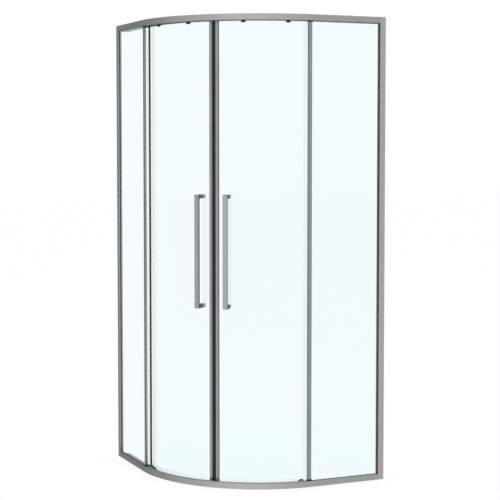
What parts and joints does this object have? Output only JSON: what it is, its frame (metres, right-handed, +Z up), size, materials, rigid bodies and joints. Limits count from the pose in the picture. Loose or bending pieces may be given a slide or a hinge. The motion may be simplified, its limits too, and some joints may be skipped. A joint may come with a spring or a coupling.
{
  "type": "shower enclosure",
  "caption": "Corner shower enclosure with a rounded front: flat fixed glass sides, curved sliding glass doors with bar handles, and a satin aluminium frame with roller tracks.",
  "frame": {"origin": "centre of the bounding box on the floor plane", "axes": "+Z up; the room's corner lies at +X +Y; the right-hand wall is the plane X = +0.443 and the left-hand wall is Y = +0.443"},
  "size_m": [0.886, 0.886, 1.95],
  "materials": {
    "satin_aluminium": "satin anodised with fine lengthwise brushing",
    "satin_nickel": "fine brushed satin plating",
    "clear_glass": "clear toughened glass with a faint cold tint",
    "clear_seal": "clear flexible seal",
    "black_seal": "black magnetic seal, smooth",
    "dark_gasket": "dark rubber",
    "roller_tyre": "black rubber tyre",
    "white_nylon": "white nylon",
    "black_plastic": "black moulded plastic",
    "grey_plastic": "grey moulded plastic",
    "fastener_steel": "stainless steel"
  },
  "bodies": {
    "frame": {"bottom_pocket_infill": "grey_plastic", "bottom_rail": "satin_aluminium", "door_stops": "black_plastic", "fixed_edge_seal_left": "clear_seal", "fixed_edge_seal_right": "clear_seal", "fixed_edge_strip_left": "satin_aluminium", "fixed_edge_strip_right": "satin_aluminium", "fixed_glass_gaskets_left": "dark_gasket", "fixed_glass_gaskets_right": "dark_gasket", "fixed_glass_left": "clear_glass", "fixed_glass_right": "clear_glass", "glass_setting_blocks": "dark_gasket", "rail_end_caps": "grey_plastic", "rail_joint_screws": "fastener_steel", "side_stile_left": "satin_aluminium", "side_stile_right": "satin_aluminium", "stile_fixing_screws": "fastener_steel", "stile_screw_covers": "grey_plastic", "stile_top_caps": "grey_plastic", "strip_end_blocks": "black_plastic", "top_pocket_infill": "grey_plastic", "top_rail": "satin_aluminium", "wall_channel_left": "satin_aluminium", "wall_channel_right": "satin_aluminium"},
    "door_right": {"bottom_guide_shoe_right": "black_plastic", "bottom_roller_pin_right": "fastener_steel", "bottom_roller_shoe_right": "black_plastic", "door_glass_right": "clear_glass", "door_leading_profile_right": "satin_aluminium", "door_magnet_seal_right": "black_seal", "door_trailing_profile_right": "black_plastic", "door_trailing_seal_right": "clear_seal", "handle_inner_pads_right": "satin_nickel", "handle_right": "satin_nickel", "handle_screws_right": "fastener_steel", "handle_washers_right": "white_nylon", "roller_axles_right": "fastener_steel", "roller_hangers_right": "black_plastic"},
    "door_left": {"bottom_guide_shoe_left": "black_plastic", "bottom_roller_pin_left": "fastener_steel", "bottom_roller_shoe_left": "black_plastic", "door_glass_left": "clear_glass", "door_leading_profile_left": "satin_aluminium", "door_magnet_seal_left": "black_seal", "door_trailing_profile_left": "black_plastic", "door_trailing_seal_left": "clear_seal", "handle_inner_pads_left": "satin_nickel", "handle_left": "satin_nickel", "handle_screws_left": "fastener_steel", "handle_washers_left": "white_nylon", "roller_axles_left": "fastener_steel", "roller_hangers_left": "black_plastic"},
    "right_trailing_roller": {"top_roller_trailing_right": "white_nylon"},
    "right_leading_roller": {"top_roller_leading_right": "white_nylon"},
    "right_bottom_roller": {"bottom_roller_tyre_right": "roller_tyre", "bottom_roller_hub_right": "white_nylon"},
    "left_trailing_roller": {"top_roller_trailing_left": "white_nylon"},
    "left_leading_roller": {"top_roller_leading_left": "white_nylon"},
    "left_bottom_roller": {"bottom_roller_tyre_left": "roller_tyre", "bottom_roller_hub_left": "white_nylon"}
  },
  "joints": [
    {"name": "right_door_travel", "type": "hinge", "parent": "frame", "child": "door_right", "pos_m": [0.1375, 0.2195, 0], "axis": [0, 0, 1], "range_deg": [0, 20]},
    {"name": "right_trailing_roller_spin", "type": "hinge", "parent": "door_right", "child": "right_trailing_roller", "pos_m": [0.0137, -0.39643, 1.9368], "axis": [0.1822, 0.9833, 0], "continuous": true},
    {"name": "right_leading_roller_spin", "type": "hinge", "parent": "door_right", "child": "right_leading_roller", "pos_m": [-0.15823, -0.33095, 1.9368], "axis": [0.518, 0.8554, 0], "continuous": true},
    {"name": "right_bottom_roller_spin", "type": "hinge", "parent": "door_right", "child": "right_bottom_roller", "pos_m": [0.06881, -0.4131, 0.016], "axis": [0.0732, 0.9973, 0], "continuous": true},
    {"name": "left_door_travel", "type": "hinge", "parent": "frame", "child": "door_left", "pos_m": [0.2195, 0.1375, 0], "axis": [0, 0, 1], "range_deg": [-20, 0]},
    {"name": "left_trailing_roller_spin", "type": "hinge", "parent": "door_left", "child": "left_trailing_roller", "pos_m": [-0.39643, 0.0137, 1.9368], "axis": [0.9833, 0.1822, 0], "continuous": true},
    {"name": "left_leading_roller_spin", "type": "hinge", "parent": "door_left", "child": "left_leading_roller", "pos_m": [-0.33095, -0.15823, 1.9368], "axis": [0.8554, 0.518, 0], "continuous": true},
    {"name": "left_bottom_roller_spin", "type": "hinge", "parent": "door_left", "child": "left_bottom_roller", "pos_m": [-0.4131, 0.06881, 0.016], "axis": [0.9973, 0.0732, 0], "continuous": true}
  ],
  "couplings": [
    {"joint": "right_trailing_roller_spin", "follows": "right_door_travel", "ratio": 62.825},
    {"joint": "right_leading_roller_spin", "follows": "right_door_travel", "ratio": 62.486},
    {"joint": "right_bottom_roller_spin", "follows": "right_door_travel", "ratio": 45.451},
    {"joint": "left_trailing_roller_spin", "follows": "left_door_travel", "ratio": 62.825},
    {"joint": "left_leading_roller_spin", "follows": "left_door_travel", "ratio": 62.486},
    {"joint": "left_bottom_roller_spin", "follows": "left_door_travel", "ratio": 45.451}
  ]
}
